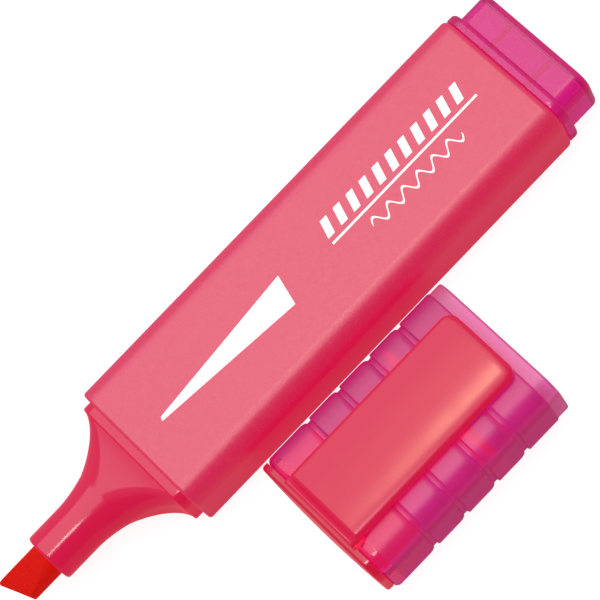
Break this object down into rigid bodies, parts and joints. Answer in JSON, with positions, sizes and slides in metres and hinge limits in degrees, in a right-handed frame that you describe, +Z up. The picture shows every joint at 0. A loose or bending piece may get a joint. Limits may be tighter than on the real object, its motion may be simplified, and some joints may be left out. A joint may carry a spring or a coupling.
{
  "type": "highlighter",
  "caption": "Flat highlighter pen with a chisel felt nib, its banded clip cap lying off beside it.",
  "frame": {"origin": "middle of the barrel's flat underside, which rests on the table", "axes": "+X along the barrel towards the end plug, +Z up out of the broad printed face, -Y towards the cap that lies beside the barrel"},
  "size_m": [0.1044, 0.0494, 0.0143],
  "materials": {
    "barrel_plastic": "pearl pink, satin moulded",
    "nose_plastic": "gloss red-pink",
    "nib_felt": "porous felt, red-orange ink",
    "core_fibre": "compressed fibre, inked",
    "core_film": "clear film",
    "plug_plastic": "translucent magenta",
    "print_ink": "white pad-printed ink",
    "sleeve_plastic": "translucent magenta",
    "insert_plastic": "gloss red-pink",
    "seal_plastic": "gloss red"
  },
  "bodies": {
    "pen": {"barrel": "barrel_plastic", "nose": "nose_plastic", "nib": "nib_felt", "ink_reservoir": "core_fibre", "reservoir_film": "core_film", "end_plug": "plug_plastic", "barrel_print": "print_ink"},
    "cap": {"cap_sleeve": "sleeve_plastic", "cap_insert": "insert_plastic", "seal_cup": "seal_plastic"},
    "clip": {"clip": "insert_plastic"}
  },
  "joints": [
    {"name": "cap_slide", "type": "slide", "parent": "pen", "child": "cap", "axis": [1, 0, 0], "range_m": [-0.0715, 0.0265]},
    {"name": "clip_flex", "type": "hinge", "parent": "cap", "child": "clip", "pos_m": [-0.0243, -0.02595, 0.0125], "axis": [0, -1, 0], "range_deg": [0, 6], "stiffness_Nm_per_rad": 1}
  ]
}
